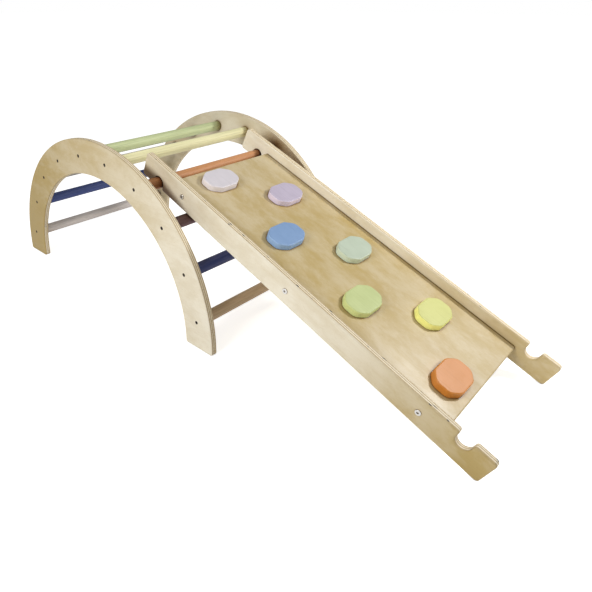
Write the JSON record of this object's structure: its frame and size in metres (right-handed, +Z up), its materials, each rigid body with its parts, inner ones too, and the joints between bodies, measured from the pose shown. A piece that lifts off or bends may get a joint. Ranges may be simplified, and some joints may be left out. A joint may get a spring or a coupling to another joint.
{
  "type": "toddler slide",
  "caption": "Half-round wooden climbing arch with coloured rungs and a reversible hook-on ramp: climbing stones on one face, smooth slide on the other.",
  "frame": {"origin": "centre of the whole model's footprint, on the floor", "axes": "+Z up, +X down the ramp away from the arch, +Y along the rungs towards the left side"},
  "size_m": [1.5274, 0.554, 0.45],
  "materials": {
    "arch_plywood": "birch plywood, clear satin lacquer",
    "rail_plywood": "birch plywood, clear satin lacquer",
    "deck_plywood": "birch plywood, clear satin lacquer",
    "dark_screws": "black phosphated steel",
    "zinc_screws": "bright zinc",
    "bolt_steel": "nickel-plated steel",
    "rung_taupe_grey": "stained hardwood, satin lacquer",
    "rung_royal_blue": "stained hardwood, satin lacquer",
    "rung_stone_grey": "stained hardwood, satin lacquer",
    "rung_teal": "stained hardwood, satin lacquer",
    "rung_light_green": "stained hardwood, satin lacquer",
    "rung_pale_yellow": "stained hardwood, satin lacquer",
    "rung_coral_orange": "stained hardwood, satin lacquer",
    "rung_plum_charcoal": "stained hardwood, satin lacquer",
    "rung_navy": "stained hardwood, satin lacquer",
    "rung_taupe_brown": "stained hardwood, satin lacquer",
    "stone_white": "painted wood, satin",
    "stone_lilac": "painted wood, satin",
    "stone_sky_blue": "painted wood, satin",
    "stone_mint": "painted wood, satin",
    "stone_apple_green": "painted wood, satin",
    "stone_lemon": "painted wood, satin",
    "stone_tangerine": "painted wood, satin"
  },
  "bodies": {
    "arch": {"arch_side_right": "arch_plywood", "arch_side_left": "arch_plywood", "rung_01": "rung_taupe_grey", "rung_02": "rung_royal_blue", "rung_03": "rung_stone_grey", "rung_04": "rung_teal", "rung_05": "rung_light_green", "rung_06": "rung_pale_yellow", "rung_07": "rung_coral_orange", "rung_08": "rung_plum_charcoal", "rung_09": "rung_navy", "rung_10": "rung_taupe_brown", "rung_screws": "dark_screws"},
    "ramp": {"ramp_rail_right": "rail_plywood", "ramp_rail_left": "rail_plywood", "ramp_deck": "deck_plywood", "rail_bolts": "bolt_steel", "stone_1": "stone_white", "stone_2": "stone_lilac", "stone_3": "stone_sky_blue", "stone_4": "stone_mint", "stone_5": "stone_apple_green", "stone_6": "stone_lemon", "stone_7": "stone_tangerine", "stone_screws": "zinc_screws"}
  },
  "joints": [
    {"name": "ramp_lift", "type": "hinge", "parent": "arch", "child": "ramp", "pos_m": [-0.13406, 0, 0.36187], "axis": [0, -1, 0], "range_deg": [0, 60]}
  ]
}
